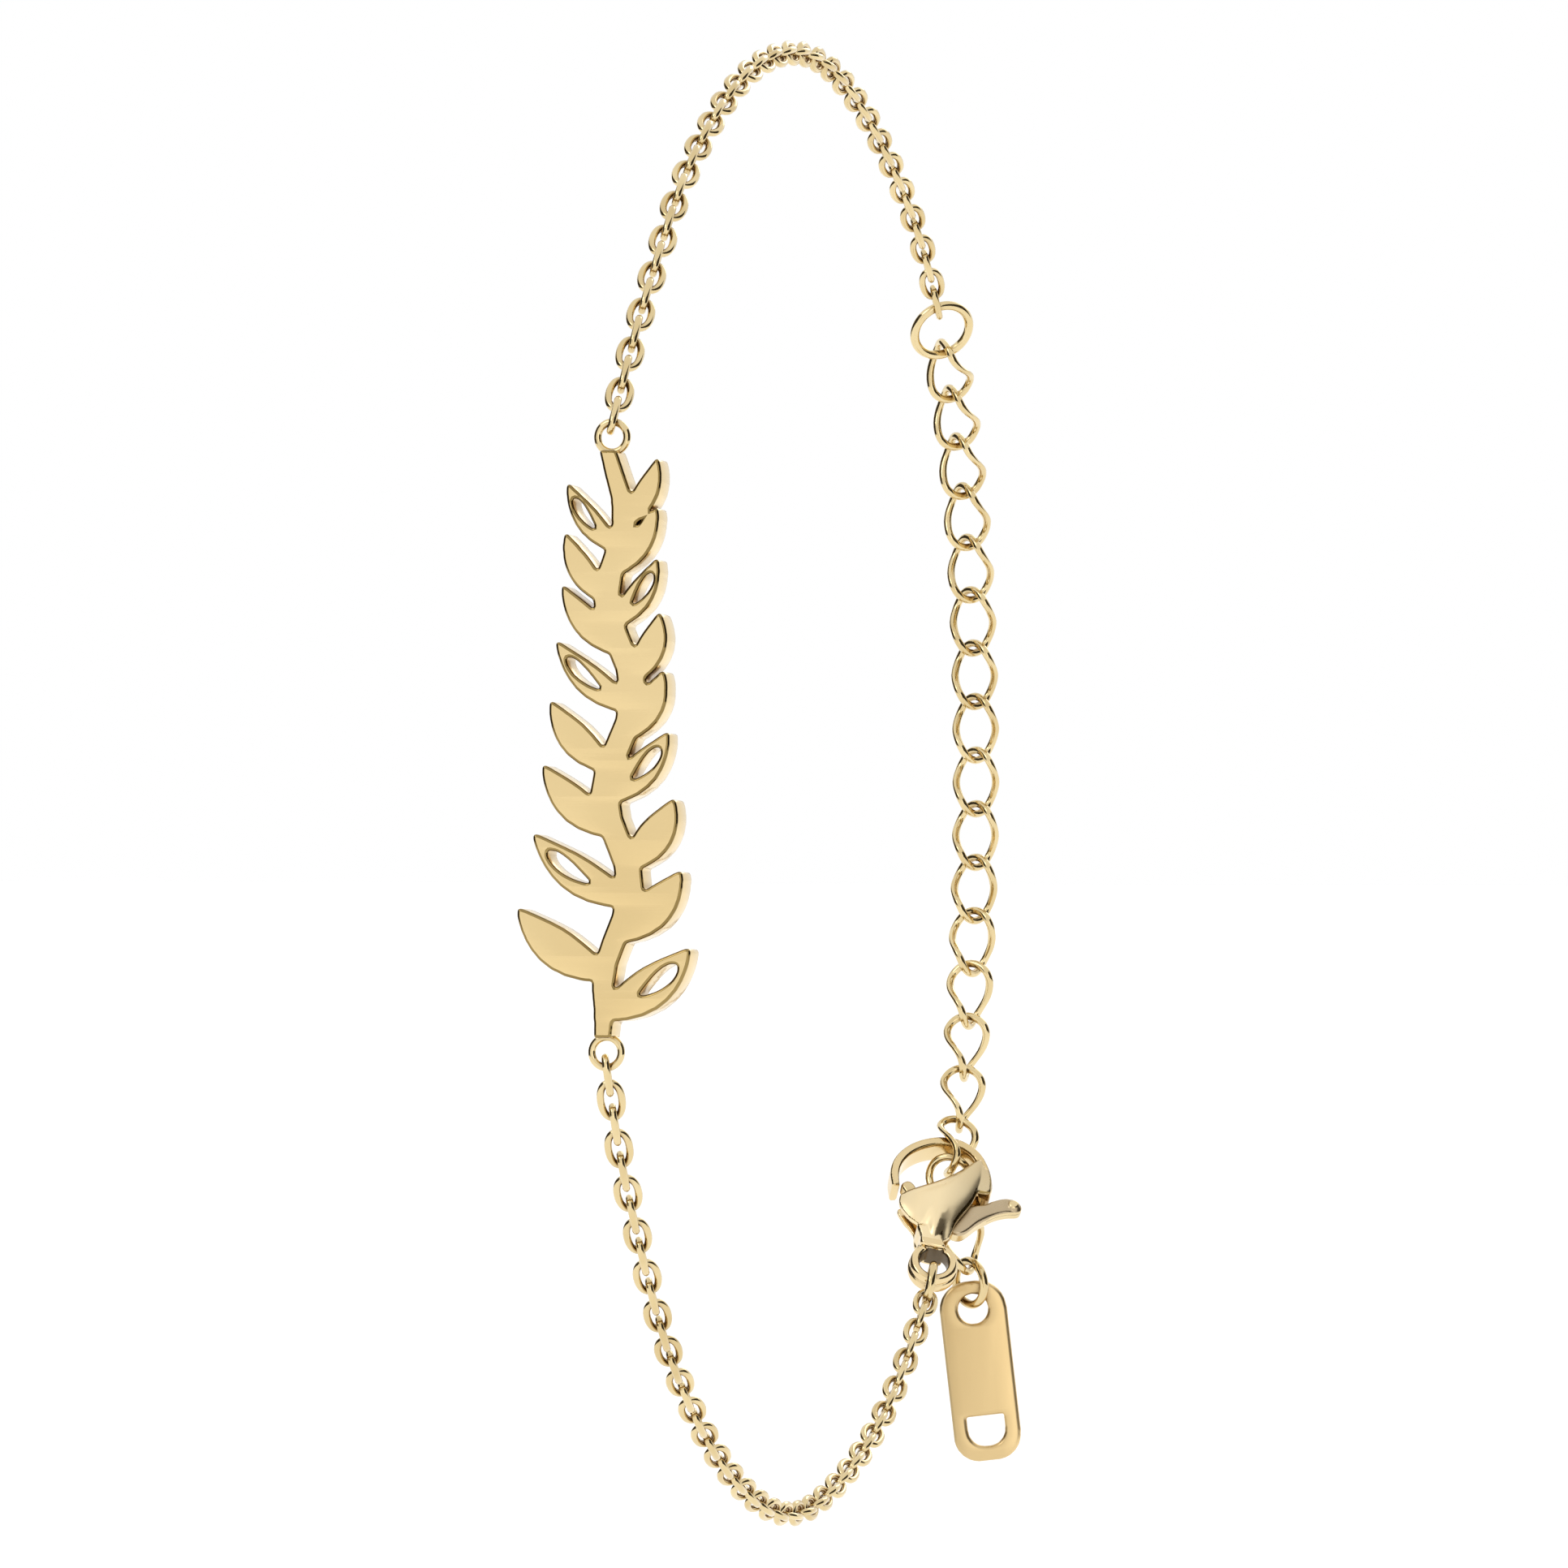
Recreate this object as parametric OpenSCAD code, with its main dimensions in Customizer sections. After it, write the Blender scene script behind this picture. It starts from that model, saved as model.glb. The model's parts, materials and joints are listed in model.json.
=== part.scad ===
// Nameplate bracelet, fastened as it is worn: a plate cut as a leafy branch, two fine
// cable chains, an extender of twisted links with an end tag, and a lobster clasp.
// The loop stands in the YZ plane round the origin. The plate is towards -Y,
// the extender and clasp are towards +Y, and the wrist passes along X.

/* [Loop] */
// Height of the fastened loop
loop_h = 70; // [66:0.5:76]
// Depth of the fastened loop, from the plate to the extender
loop_d = 70; // [66:0.5:76]
// Turn from -Y of the side that the flat links face
face_turn = 14.6; // [10:0.2:20]
// Gap left between one link's wire and the next
link_gap = 0.12; // [0.11:0.01:0.13]
// How far round the chain the hook holds, as a share of its length
hook_at = 0.598; // [0.58:0.002:0.62]

/* [Fine chain] */
// Wire of a fine link
cable_wire = 0.34; // [0.3:0.01:0.34]
// Outer width of a fine link
cable_w = 1.28; // [1.26:0.01:1.4]
// Outer length of a fine link
cable_l = 2.08; // [2:0.02:2.4]

/* [End ring] */
// Outer diameter of the ring between the fine chain and the extender
end_ring_d = 3.4; // [3.2:0.1:4]
// Wire of that ring
end_ring_wire = 0.46; // [0.4:0.01:0.48]

/* [Extender] */
// Number of twisted links
ext_count = 18; // [14:1:20]
// Wire of a twisted link
ext_wire = 0.4; // [0.34:0.01:0.42]
// Outer width of a twisted link
ext_w = 2.44; // [2.4:0.02:2.6]
// Outer length of a twisted link
ext_l = 3.7; // [3.6:0.02:3.9]
// Twist of a link from end to end
ext_twist = 90; // [84:2:96]

/* [Nameplate] */
// Distance between the centres of the plate's two rings
plate_span = 27.2; // [25:0.2:30]
// Width across the branch's widest leaves
plate_w = 8.1; // [7.4:0.1:9]
// Thickness of the plate
plate_t = 1.6; // [1:0.1:1.9]
// Lean of the plate's top towards the wrist
plate_lean = 2; // [0:0.5:5]
// Width of the branch's stem
stem_w = 1.35; // [1.1:0.05:1.7]
// Width of the fullest leaf
leaf_w = 2.3; // [2:0.05:2.5]
// Outer diameter of a ring soldered to the plate
plate_ring_d = 1.68; // [1.6:0.02:2]

/* [Tag] */
// Length of the end tag
tag_l = 9.25; // [8:0.25:11]
// Width of the end tag
tag_w = 3.45; // [3.2:0.05:4]
// Thickness of the end tag
tag_t = 0.6; // [0.5:0.05:0.65]
// Diameter of the tag's round hole
tag_hole_d = 1.54; // [1.5:0.02:1.7]
// Metal between the tag's round hole and its top edge
tag_rim = 0.66; // [0.5:0.02:0.7]
// Width of the tag's D-shaped slot
tag_slot_w = 1.9; // [1.5:0.05:2.2]
// Height of the tag's D-shaped slot
tag_slot_h = 1.55; // [1.2:0.05:1.8]
// Outer diameter of the ring that carries the tag
tag_ring_d = 2.7; // [2.6:0.05:3]
// Wire of that ring
tag_ring_wire = 0.45; // [0.36:0.01:0.46]

/* [Clasp] */
// Length of the clasp from hook to eye
clasp_l = 9; // [8.9:0.1:9.8]
// Width of the clasp's body
clasp_w = 5.2; // [5.1:0.05:5.6]
// Thickness of the hook over its arch
hook_t = 0.5; // [0.4:0.02:0.54]
// Space at each side of the hook inside the link that it holds
hook_side = 0.25; // [0.22:0.01:0.3]
// Thickness of the front and back walls
clasp_wall = 0.5; // [0.42:0.02:0.6]
// Thickness of the lever
lever_t = 0.86; // [0.7:0.02:0.9]
// Gap between the lever and each wall
lever_gap = 0.06; // [0.05:0.01:0.1]
// Diameter of the eye's hole
eye_d = 1.5; // [1.4:0.02:1.56]
// Outer diameter of the eye
eye_outer_d = 2.54; // [2.46:0.02:2.6]
// Depth of the eye, front to back
eye_depth = 1.1; // [0.9:0.02:1.14]
// Diameter of the lever's pin
pin_d = 0.6; // [0.5:0.02:0.7]
// Outer diameter of the ring between the clasp and the fine chain
clasp_link_d = 2.5; // [2.5:0.05:3]
// Wire of that ring
clasp_link_wire = 0.45; // [0.36:0.01:0.45]

/* [Hidden] */

// Corners round a meshed link and round its wire
loop_turns = 12;
wire_sides = 5;
round_fn = 48;

function unit(v) = v / norm(v);

// The side that flat links face, and the right hand seen from there
facing = [sin(face_turn), -cos(face_turn), 0];
right = [cos(face_turn), sin(face_turn), 0];

// From a ring's centre to the middle of the gap between its wire and the next one's
function half_pull(l, wire) = l / 2 - wire - link_gap / 2;
cable_pull = half_pull(cable_l, cable_wire);
end_pull = half_pull(end_ring_d, end_ring_wire);
ext_pull = half_pull(ext_l, ext_wire);
clasp_link_pull = half_pull(clasp_link_d, clasp_link_wire);
tag_ring_pull = half_pull(tag_ring_d, tag_ring_wire);

// Smooth curve through a list of stops. Place u counts the stops
function stop(list, i) = list[max(0, min(len(list) - 1, i))];
function blend(a, b, c, d, t) =
    b + t / 2 * (c - a + t * (2 * a - 5 * b + 4 * c - d + t * (3 * b - 3 * c + d - a)));
function curve(list, u) =
    let (i = min(floor(u), len(list) - 2))
    blend(stop(list, i - 1), stop(list, i), stop(list, i + 1), stop(list, i + 2), u - i);
// Closed outline through the stops, with a few points between each two
outline_steps = 4;
function outline(list) =
    let (n = len(list))
    [
        for (i = [0 : n - 1]) for (k = [0 : outline_steps - 1])
            blend(list[(i + n - 1) % n], list[i], list[(i + 1) % n], list[(i + 2) % n], k / outline_steps)
    ];

// The plate stands upright on the near side of the loop
plate_out = 0.983;
plate_rise = 0.023;
plate_up = [0, sin(plate_lean), cos(plate_lean)];
plate_mid = [0, -plate_out * loop_d / 2, plate_rise * loop_h];
plate_joint = (plate_span + plate_ring_d - cable_wire) / 2;

// The chain's way round from the plate's top ring to its foot ring: degrees round
// from the plate, and the share of the half size that it reaches there
route = [
    [38, 1.02], [55, 1.0], [75, 0.993], [95, 0.996], [115, 1.0], [135, 1.03], [155, 1.033],
    [175, 1.013], [195, 1.015], [215, 1.045], [232, 1.015], [250, 0.996], [272, 1.0],
    [292, 1.0], [312, 1.017], [330, 1.04]
];
route_stops = concat(
    [plate_mid + plate_joint * plate_up],
    [for (r = route) r[1] / 2 * [0, -loop_d * cos(r[0]), loop_h * sin(r[0])]],
    [plate_mid - plate_joint * plate_up]
);
// Length run at each small step along the way
stop_steps = 12;
steps = stop_steps * (len(route_stops) - 1);
run = [
    for (
        i = 0, s = 0;
        i <= steps;
        s = s + norm(curve(route_stops, (i + 1) / stop_steps) - curve(route_stops, i / stop_steps)),
        i = i + 1
    ) [s, i / stop_steps]
];
route_len = run[steps][0];
function along(s) = curve(route_stops, lookup(s, run));
// An end link of a fine chain turns about the middle of the plate ring's wire,
// so it reaches this far beyond it
cable_back = (cable_wire + link_gap) / 2;
function hung(at, aim) = at - cable_back * unit(aim - at);

// Extender: the hook holds the last link but two
tail_count = 2;
hooked = ext_count - tail_count;
hook_s = hook_at * route_len;
ext_start = hook_s - hooked * 2 * ext_pull;

// Upper chain: an odd number of links between the plate and the end ring
upper_run = ext_start - 2 * end_pull + cable_back;
upper_first = hung(along(0), along(2 * cable_pull));
upper_count = 2 * ceil((upper_run / (2 * cable_pull) - 1) / 2) + 1;

// Clasp: its hook passes through the hooked link above the next link's wire
hook_slack = 0.36;
hook_drop = hook_t + hook_slack + link_gap + ext_wire + link_gap / 2;
hook_depth = ext_w - 2 * ext_wire - 2 * hook_side;
slot_w = lever_t + 2 * lever_gap;
body_depth = slot_w + 2 * clasp_wall;
eye_z = clasp_l - eye_outer_d / 2;
eye_rim = (eye_outer_d - eye_d) / 2;
// How far the clasp's ring hangs below the middle of the eye's rim
function hang(inner_r, half) = sqrt(pow(inner_r - link_gap, 2) - half * half);
eye_hang = hang(clasp_link_d / 2 - clasp_link_wire, eye_depth / 2) - eye_rim / 2;
clasp_run = clasp_l - eye_rim / 2 + eye_hang + clasp_link_pull - hook_drop;
// The pull draws the hooked link and the clasp into one straight line
hooked_top = along(hook_s - 2 * ext_pull);
clasp_dir = unit(along(hook_s + clasp_run) - hooked_top);
hook_point = hooked_top + 2 * ext_pull * clasp_dir;
clasp_end = hook_point + clasp_run * clasp_dir;

// Lower chain: an even number of links between the clasp's ring and the plate
lower_start = hook_s + clasp_run;
lower_run = route_len - lower_start + cable_back;
lower_last = hung(along(route_len), along(route_len - 2 * cable_pull));
lower_count = 2 * ceil(lower_run / (4 * cable_pull));

// Tail beyond the hook. Its first link lies across the hooked link's end, by these
// shares of the end's radius to the right, to the front and towards its tip
tail_at = [-0.42, 0.26, 0.38];
ext_r = (ext_w - ext_wire) / 2;
hooked_right = unit(cross(facing, clasp_dir));
hooked_front = cross(clasp_dir, hooked_right);
hooked_arc = hook_point + ((ext_wire + link_gap) / 2 - ext_r) * clasp_dir;
function tail_dir(side, back) = unit(
    cos(back) * (sin(side) * right - cos(side) * [0, 0, 1]) - sin(back) * facing
);
tail_sides = [12, 12];
tail_backs = [10, 4];
tail_rolls = [-30, -20];
tag_side = 6.5;
tag_dir = tail_dir(tag_side, 0);
tail_1 = hooked_arc + ext_r * (tail_at[0] * hooked_right + tail_at[1] * hooked_front + tail_at[2] * clasp_dir)
    + (ext_wire + link_gap) / 2 * tail_dir(tail_sides[0], tail_backs[0]);
tail_2 = tail_1 + 2 * ext_pull * tail_dir(tail_sides[0], tail_backs[0]);
tail_3 = tail_2 + 2 * ext_pull * tail_dir(tail_sides[1], tail_backs[1]);
tail_stops = [tail_1, tail_2, tail_3];
tag_roll = 52;
tag_joint = tail_3 + 2 * tag_ring_pull * tag_dir;
tag_hang = hang(tag_ring_d / 2 - tag_ring_wire, (tag_t / 2 + tag_ring_wire / 4) / sin(tag_roll));

// Leafy branch of the plate. Its leaves alternate and grow towards the foot. A leaf
// runs from the stem to its tip. Places are shares of the plate's half width and of its
// span, width is a share of leaf_w, bow is the sideways bend as a share of its length
leaf_rows = [
    // root z, tip x, tip z, width, bow
    [0.375, 0.56, 0.463, 0.52, -0.16],
    [0.333, -0.45, 0.423, 0.53, 0.16],
    [0.291, 0.56, 0.383, 0.54, -0.16],
    [0.247, -0.47, 0.342, 0.55, 0.16],
    [0.203, 0.57, 0.3, 0.57, -0.16],
    [0.158, -0.5, 0.257, 0.59, 0.16],
    [0.111, 0.6, 0.212, 0.61, -0.16],
    [0.063, -0.56, 0.166, 0.63, 0.16],
    [0.013, 0.65, 0.118, 0.65, -0.16],
    [-0.039, -0.62, 0.069, 0.67, 0.16],
    [-0.092, 0.71, 0.018, 0.7, -0.16],
    [-0.147, -0.7, -0.035, 0.72, 0.16],
    [-0.205, 0.78, -0.09, 0.75, -0.16],
    [-0.264, -0.8, -0.147, 0.77, 0.16],
    [-0.325, 0.87, -0.207, 0.8, -0.16],
    [-0.389, -0.97, -0.268, 0.83, 0.16],
    [-0.455, 0.97, -0.332, 0.86, -0.16]
];
// Leaves that are pierced by a teardrop, and the share of the leaf that it takes
eyelet_rows = [
    // leaf, width, start, end
    [1, 0.34, 0.36, 0.82], [4, 0.34, 0.36, 0.82], [7, 0.34, 0.36, 0.82], [10, 0.34, 0.36, 0.82],
    [13, 0.34, 0.36, 0.82], [16, 0.34, 0.36, 0.82]
];
eyelet_end = 0.02;
leaf_steps = 12;
stem_steps = 24;
stem_bend = 0.16;
stem_waves = 3.0;
stem_end_w = 0.8;
solder_lap = 0.2;
stem_reach = plate_span / 2 - plate_ring_d / 2 + solder_lap;

// Stands what is drawn along Z between two points, its XZ plane towards the facing side
module between(a, b, roll = 0) {
    z = unit(b - a);
    x = unit(cross(facing, z));
    y = cross(z, x);
    c = (a + b) / 2;
    multmatrix([[x[0], y[0], z[0], c[0]], [x[1], y[1], z[1], c[1]], [x[2], y[2], z[2], c[2]], [0, 0, 0, 1]])
        rotate([0, 0, roll]) children();
}

// Extrudes an outline of across and down to a thickness centred on Y
module slab(t) rotate([90, 0, 0]) linear_extrude(t, center = true) children();

module bore(p, d, deep) translate([p[0], 0, p[1]]) rotate([90, 0, 0])
    cylinder(h = deep, d = d, center = true, $fn = round_fn);

module round_ring(d, wire) rotate([90, 0, 0]) rotate_extrude($fn = round_fn)
    translate([(d - wire) / 2, 0]) circle(d = wire, $fn = round_fn);

// A closed oval of wire in the XZ plane. Twist turns one end against the other
function loop_angles(twist) =
    let (half = [for (i = [0 : loop_turns / 2 - 1]) (i + 0.5) * 360 / loop_turns])
    concat(twist == 0 ? [] : [0], half, twist == 0 ? [] : [180], [for (a = half) a + 180]);
function turned(p, a) = [p[0] * cos(a) - p[1] * sin(a), p[0] * sin(a) + p[1] * cos(a), p[2]];

module wire_loop(l, w, wire, twist) {
    angles = loop_angles(twist);
    n = len(angles);
    r = (w - wire) / 2;
    straight = (l - w) / 2;
    mitre = cos(180 / loop_turns);
    twist_end = straight + 0.7 * r;
    points = [
        for (a = angles) for (j = [0 : wire_sides - 1])
            let (
                b = j * 360 / wire_sides,
                out = (r + wire / 2 * cos(b)) / (a % 180 == 0 ? 1 : mitre),
                z = out * sin(a) + sign(sin(a)) * straight,
                mid_z = r * sin(a) + sign(sin(a)) * straight
            )
            turned(
                [out * cos(a), wire / 2 * sin(b), z],
                -twist / 2 * sin(90 * max(-1, min(1, mid_z / twist_end)))
            )
    ];
    faces = [
        for (i = [0 : n - 1]) for (j = [0 : wire_sides - 1])
            let (i2 = (i + 1) % n, j2 = (j + 1) % wire_sides)
            each [
                [i * wire_sides + j, i2 * wire_sides + j, i2 * wire_sides + j2],
                [i * wire_sides + j, i2 * wire_sides + j2, i * wire_sides + j2]
            ]
    ];
    polyhedron(points, faces);
}

// A run of fine links along the way, each turned a quarter from the last
module cable(start, length, count, first_roll, first, last)
    for (i = [0 : count - 1])
        between(
            i == 0 ? first : along(start + i * length / count),
            i == count - 1 ? last : along(start + (i + 1) * length / count),
            first_roll + 90 * (i % 2)
        ) wire_loop(cable_l, cable_w, cable_wire, 0);

// Outline of the branch
function stem_point(s) = [
    stem_bend * plate_w / 2 * (1 - pow(2 * s, 4)) * (1 + sin(s * stem_waves * 360)), s * 2 * stem_reach
];
function stem_half(s) = (stem_w - (stem_w - stem_end_w) * pow(abs(2 * s), 3)) / 2;

function leaf_spot(row, t) =
    let (
        a = stem_point(row[0]),
        c = [row[1] * plate_w / 2, row[2] * plate_span],
        side = [(a - c)[1], (c - a)[0]],
        b = (a + c) / 2 + row[4] * side
    )
    pow(1 - t, 2) * a + 2 * t * (1 - t) * b + t * t * c;
aim = 0.02;
function leaf_side(row, t) = let (d = unit(leaf_spot(row, t + aim) - leaf_spot(row, t - aim))) [-d[1], d[0]];
function leaf_half(row, t) = row[3] * leaf_w / 2 * (0.5 + 0.5 * sin(180 * t)) * sqrt(max(0, 1 - pow(t, 4)));
// Half width of an eyelet at a share u of its own length, wide towards its start
function eyelet_half(e, u) =
    e[1] * leaf_rows[e[0]][3] * leaf_w / 2 * pow(sin(180 * pow(u, 0.7)), 0.8) + eyelet_end;
function two_sides(spots, sides) = concat(
    [for (i = [0 : leaf_steps]) spots[i] + sides[i]],
    [for (i = [leaf_steps : -1 : 0]) spots[i] - sides[i]]
);
function shares(from, to) = [for (i = [0 : leaf_steps]) from + (to - from) * i / leaf_steps];

// Shares of a leaf's length, closer together towards its rounded tip
tip_shares = [for (t = shares(1, 0)) 1 - t * t];
module leaf_shape(row) polygon(two_sides(
    [for (t = tip_shares) leaf_spot(row, t)],
    [for (t = tip_shares) leaf_half(row, t) * leaf_side(row, t)]
));

module eyelet_shape(e) {
    row = leaf_rows[e[0]];
    polygon(two_sides(
        [for (t = shares(e[2], e[3])) leaf_spot(row, t)],
        [for (t = shares(e[2], e[3])) eyelet_half(e, (e[3] - t) / (e[3] - e[2])) * leaf_side(row, t)]
    ));
}

module stem_shape() polygon(concat(
    [for (i = [0 : stem_steps]) let (s = i / stem_steps - 0.5) stem_point(s) - [stem_half(s), 0]],
    [for (i = [stem_steps : -1 : 0]) let (s = i / stem_steps - 0.5) stem_point(s) + [stem_half(s), 0]]
));

module branch_shape() difference() {
    union() {
        stem_shape();
        for (row = leaf_rows) leaf_shape(row);
    }
    for (e = eyelet_rows) eyelet_shape(e);
}

module nameplate() color([0.93, 0.80, 0.52]) translate(plate_mid) rotate([-plate_lean, 0, 0]) {
    slab(plate_t) branch_shape();
    for (side = [-1, 1]) translate([0, 0, side * plate_span / 2]) round_ring(plate_ring_d, cable_wire);
}

module upper_chain() color([0.90, 0.77, 0.49])
    cable(-cable_back, upper_run, upper_count, 90, upper_first, along(upper_run - cable_back));

module lower_chain() color([0.90, 0.77, 0.49])
    cable(lower_start, lower_run, lower_count, 0, clasp_end, lower_last);

end_ring_roll = -12;
module end_ring() color([0.90, 0.77, 0.49])
    between(along(upper_run - cable_back), along(ext_start), end_ring_roll)
        round_ring(end_ring_d, end_ring_wire);

// Roll of a twisted link: the first ones show their foot and the last ones their top
roll_rows = [
    // links before the hooked one, roll
    [0, -55], [1, -43], [2, -38], [3, -25], [4, -10], [5, 0], [10, 5], [11, 14], [13, 22], [15, 28]
];
function ext_roll(i) = i > hooked ? tail_rolls[i - hooked - 1] : lookup(hooked - i, roll_rows);
function ext_from(i) = i > hooked ? tail_stops[i - hooked - 1] : along(ext_start + (i - 1) * 2 * ext_pull);
function ext_to(i) =
    i > hooked ? tail_stops[i - hooked] : i == hooked ? hook_point : along(ext_start + i * 2 * ext_pull);
module extender_link(i) color([0.90, 0.77, 0.49])
    between(ext_from(i), ext_to(i), ext_roll(i)) wire_loop(ext_l, ext_w, ext_wire, ext_twist);

module tag_ring() color([0.90, 0.77, 0.49])
    between(tail_3, tag_joint, tag_roll) round_ring(tag_ring_d, tag_ring_wire);

// Tag outline, as across and down from its top edge
tag_top_r = 0.42;
tag_foot_r = 0.38;
tag_slot_rise = 0.76;
tag_slot_foot = 0.55;
corner_steps = 6;
function corner(c, r, from) =
    [for (i = [0 : corner_steps]) let (a = from + 90 * i / corner_steps) c + r * [cos(a), sin(a)]];
module tag_shape() difference() {
    top = tag_top_r * tag_w;
    foot = tag_foot_r * tag_w;
    side = tag_w / 2;
    polygon(concat(
        corner([side - foot, tag_l - foot], foot, 0),
        corner([foot - side, tag_l - foot], foot, 90),
        corner([top - side, top], top, 180),
        corner([side - top, top], top, 270)
    ));
    translate([0, tag_rim + tag_hole_d / 2]) circle(d = tag_hole_d, $fn = round_fn);
    translate([0, tag_l - tag_slot_rise - tag_slot_h]) {
        slot_foot = tag_slot_foot * tag_slot_h;
        polygon(concat(
            [[-tag_slot_w / 2, 0], [tag_slot_w / 2, 0]],
            corner([tag_slot_w / 2 - slot_foot, tag_slot_h - slot_foot], slot_foot, 0),
            corner([slot_foot - tag_slot_w / 2, tag_slot_h - slot_foot], slot_foot, 90)
        ));
    }
}
module tag() color([0.87, 0.76, 0.52])
    between(tag_joint, tag_joint + 2 * tag_ring_pull * tag_dir)
        translate([0, 0, tag_hang - tag_rim - 2 * tag_ring_pull]) slab(tag_t) tag_shape();

// Clasp. Its outlines run across as shares of clasp_w and down from the hook's top
// as shares of clasp_l
function sized(rows) = [for (p = rows) [p[0] * clasp_w, p[1] * clasp_l]];
module cut(rows, deep) slab(deep) polygon(outline(sized(rows)));

// Middle line of the hook from its root to its tip, with its width as a share of hook_t
hook_rows = [
    // across, down, width
    [0.345, 0.333, 1.6], [0.36, 0.28, 1.5], [0.327, 0.185, 1.2], [0.222, 0.082, 1.0], [0.05, 0.028, 1.0],
    [-0.135, 0.03, 1.0], [-0.31, 0.072, 1.0], [-0.445, 0.14, 1.0], [-0.525, 0.225, 1.0],
    [-0.54, 0.31, 0.95], [-0.505, 0.395, 0.8]
];
hook_steps = 3;
function hook_spot(u) = let (p = curve(hook_rows, u)) [p[0] * clasp_w, p[1] * clasp_l];
function hook_edge(u, side) =
    let (d = unit(hook_spot(u + aim) - hook_spot(u - aim)))
    hook_spot(u) + side * curve(hook_rows, u)[2] * hook_t / 2 * [-d[1], d[0]];
hook_last = hook_steps * (len(hook_rows) - 1);
module hook() slab(hook_depth) polygon(concat(
    [for (i = [0 : hook_last]) hook_edge(i / hook_steps, 1)],
    [for (i = [hook_last : -1 : 0]) hook_edge(i / hook_steps, -1)]
));

front_rows = [
    [0.27, 0.13], [0.315, 0.244], [0.265, 0.417], [0.142, 0.584], [0.07, 0.72], [-0.175, 0.72],
    [-0.215, 0.655], [-0.32, 0.62], [-0.425, 0.555], [-0.45, 0.49], [-0.4, 0.45], [-0.286, 0.4],
    [-0.095, 0.325], [0.057, 0.25], [0.17, 0.18]
];
back_rows = [
    [0.36, 0.222], [0.385, 0.323], [0.3, 0.455], [0.12, 0.606], [0.067, 0.727], [-0.183, 0.727],
    [-0.25, 0.626], [-0.375, 0.55], [-0.442, 0.485], [-0.337, 0.465], [-0.183, 0.455], [0, 0.435],
    [0.154, 0.38]
];
spine_rows = [
    [0.235, 0.17], [0.28, 0.15], [0.385, 0.21], [0.42, 0.3], [0.4, 0.345], [0.23, 0.345], [0.225, 0.25]
];
neck_rows = [
    [-0.225, 0.657], [-0.04, 0.662], [0.04, 0.727], [0.067, 0.783], [-0.144, 0.783], [-0.183, 0.727]
];
lever_rows = [
    [-0.404, 0.34], [-0.337, 0.352], [-0.231, 0.424], [-0.058, 0.46], [0.154, 0.439], [0.365, 0.394],
    [0.46, 0.35], [0.56, 0.318], [0.665, 0.308], [0.745, 0.34], [0.735, 0.388], [0.62, 0.412],
    [0.5, 0.452], [0.36, 0.53], [0.213, 0.63], [0.038, 0.621], [-0.115, 0.601], [-0.212, 0.545],
    [-0.308, 0.475], [-0.404, 0.42], [-0.455, 0.375]
];
spine_inset = 0.15;
pivot = sized([[-0.029, 0.54]])[0];
pin_gap = 0.02;
// Metal left over the pin's end in the front wall
pin_cover = 0.16;
pin_l = body_depth - pin_cover;
lever_bore_gap = 0.06;

module at_clasp() between(hook_point, clasp_end) translate([0, 0, -clasp_run / 2 - hook_drop]) children();

module clasp_body() color([0.92, 0.80, 0.53]) at_clasp() difference() {
    union() {
        hook();
        cut(spine_rows, body_depth - 2 * spine_inset);
        translate([0, (slot_w + clasp_wall) / 2, 0]) cut(front_rows, clasp_wall);
        translate([0, -(slot_w + clasp_wall) / 2, 0]) cut(back_rows, clasp_wall);
        cut(neck_rows, body_depth);
        bore([0, eye_z], eye_outer_d, eye_depth);
    }
    bore([0, eye_z], eye_d, 2 * body_depth);
    translate([0, pin_gap - body_depth / 2 - pin_cover, 0]) bore(pivot, pin_d + 2 * pin_gap, 2 * body_depth);
}

module clasp_lever() color([0.72, 0.62, 0.42]) at_clasp() difference() {
    cut(lever_rows, lever_t);
    bore(pivot, pin_d + 2 * lever_bore_gap, 2 * body_depth);
}

module clasp_pin() color([0.80, 0.68, 0.42]) at_clasp()
    translate([0, -pin_cover / 2, 0]) bore(pivot, pin_d, pin_l);

module clasp_link() color([0.90, 0.77, 0.49])
    between(clasp_end - 2 * clasp_link_pull * clasp_dir, clasp_end, 90)
        round_ring(clasp_link_d, clasp_link_wire);

function ext_name(i) = str("extender_link_", i < 10 ? "0" : "", i);

nameplate();
upper_chain();
end_ring();
for (i = [1 : ext_count]) extender_link(i);
tag_ring();
tag();
clasp_body();
clasp_lever();
clasp_pin();
clasp_link();
lower_chain();
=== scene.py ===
import json
import math

import bmesh
import bpy
import numpy as np
from mathutils import Matrix, Vector


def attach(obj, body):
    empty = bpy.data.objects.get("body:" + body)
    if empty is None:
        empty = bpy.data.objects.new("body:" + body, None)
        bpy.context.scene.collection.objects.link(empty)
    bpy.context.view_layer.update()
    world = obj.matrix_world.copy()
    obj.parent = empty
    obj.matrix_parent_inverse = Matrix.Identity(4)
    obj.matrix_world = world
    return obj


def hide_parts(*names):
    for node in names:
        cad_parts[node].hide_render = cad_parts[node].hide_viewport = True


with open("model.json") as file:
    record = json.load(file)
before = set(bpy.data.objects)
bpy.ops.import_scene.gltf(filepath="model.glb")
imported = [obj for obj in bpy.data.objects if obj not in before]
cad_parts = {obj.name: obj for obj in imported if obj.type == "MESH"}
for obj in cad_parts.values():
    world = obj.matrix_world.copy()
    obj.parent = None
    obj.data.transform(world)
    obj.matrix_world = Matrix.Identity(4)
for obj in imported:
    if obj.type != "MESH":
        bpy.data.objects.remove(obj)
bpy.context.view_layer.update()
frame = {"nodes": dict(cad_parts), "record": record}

NODES = frame["nodes"]
MM = 0.001

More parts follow.
